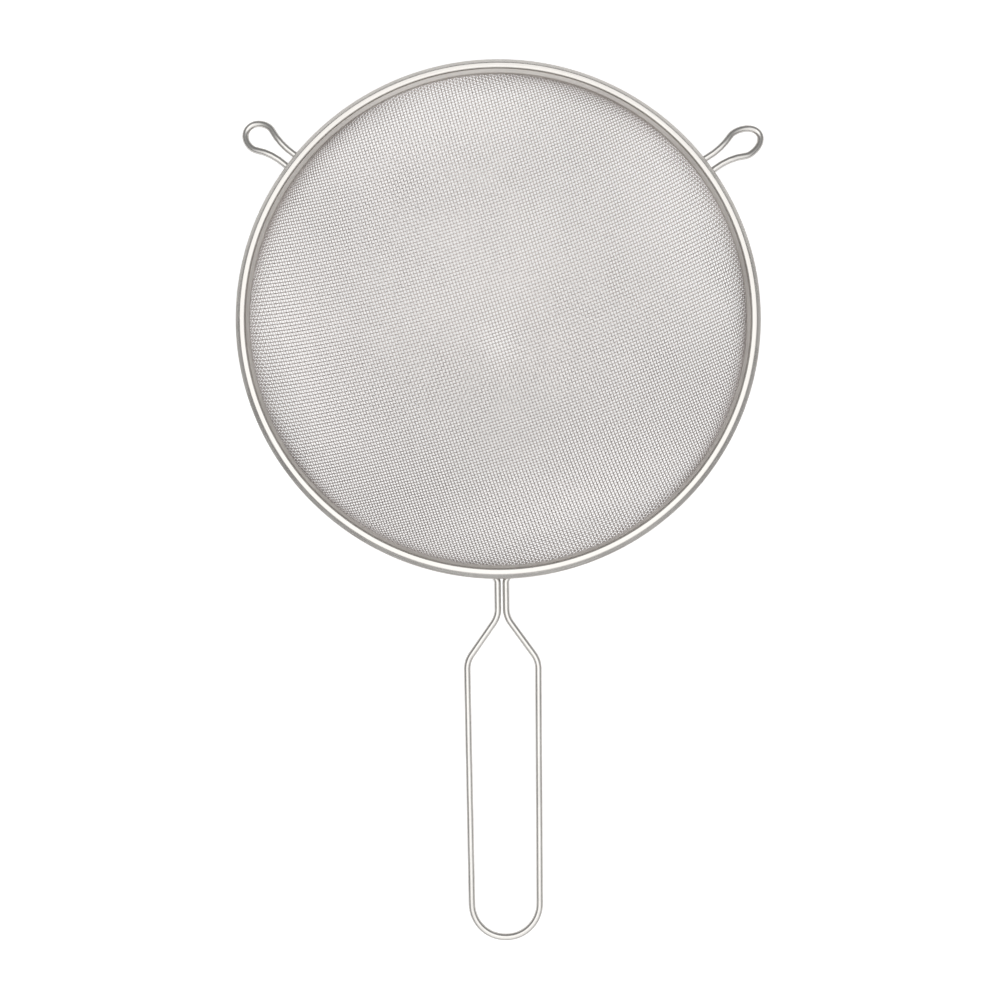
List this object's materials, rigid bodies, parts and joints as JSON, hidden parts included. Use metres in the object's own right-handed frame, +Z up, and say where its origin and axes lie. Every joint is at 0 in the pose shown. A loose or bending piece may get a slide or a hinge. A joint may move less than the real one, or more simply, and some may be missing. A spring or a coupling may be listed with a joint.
{
  "type": "mesh strainer",
  "caption": "Round-bottomed kitchen strainer: woven wire cloth bowl clamped in a rolled steel rim, with a long bent-wire handle and wire rest loops opposite it.",
  "frame": {"origin": "lowest point of the wire bowl, on the bowl's axis", "axes": "+Z up out of the bowl's mouth, -Y along the handle, +X to the right when looking into the bowl with the handle towards the viewer"},
  "size_m": [0.2646, 0.4348, 0.0843],
  "materials": {
    "rim_steel": "polished stainless strip with faint rolling lines",
    "wire_steel": "bright drawn stainless wire",
    "cloth_steel": "fine stainless wire cloth, slightly warm grey"
  },
  "bodies": {
    "root": {"rim_hoop": "rim_steel", "rim_core_wire": "wire_steel", "clamp_ring": "rim_steel", "mesh_warp": "cloth_steel", "mesh_weft": "cloth_steel", "handle_loop": "wire_steel", "ear_left": "wire_steel", "ear_right": "wire_steel"}
  },
  "joints": []
}
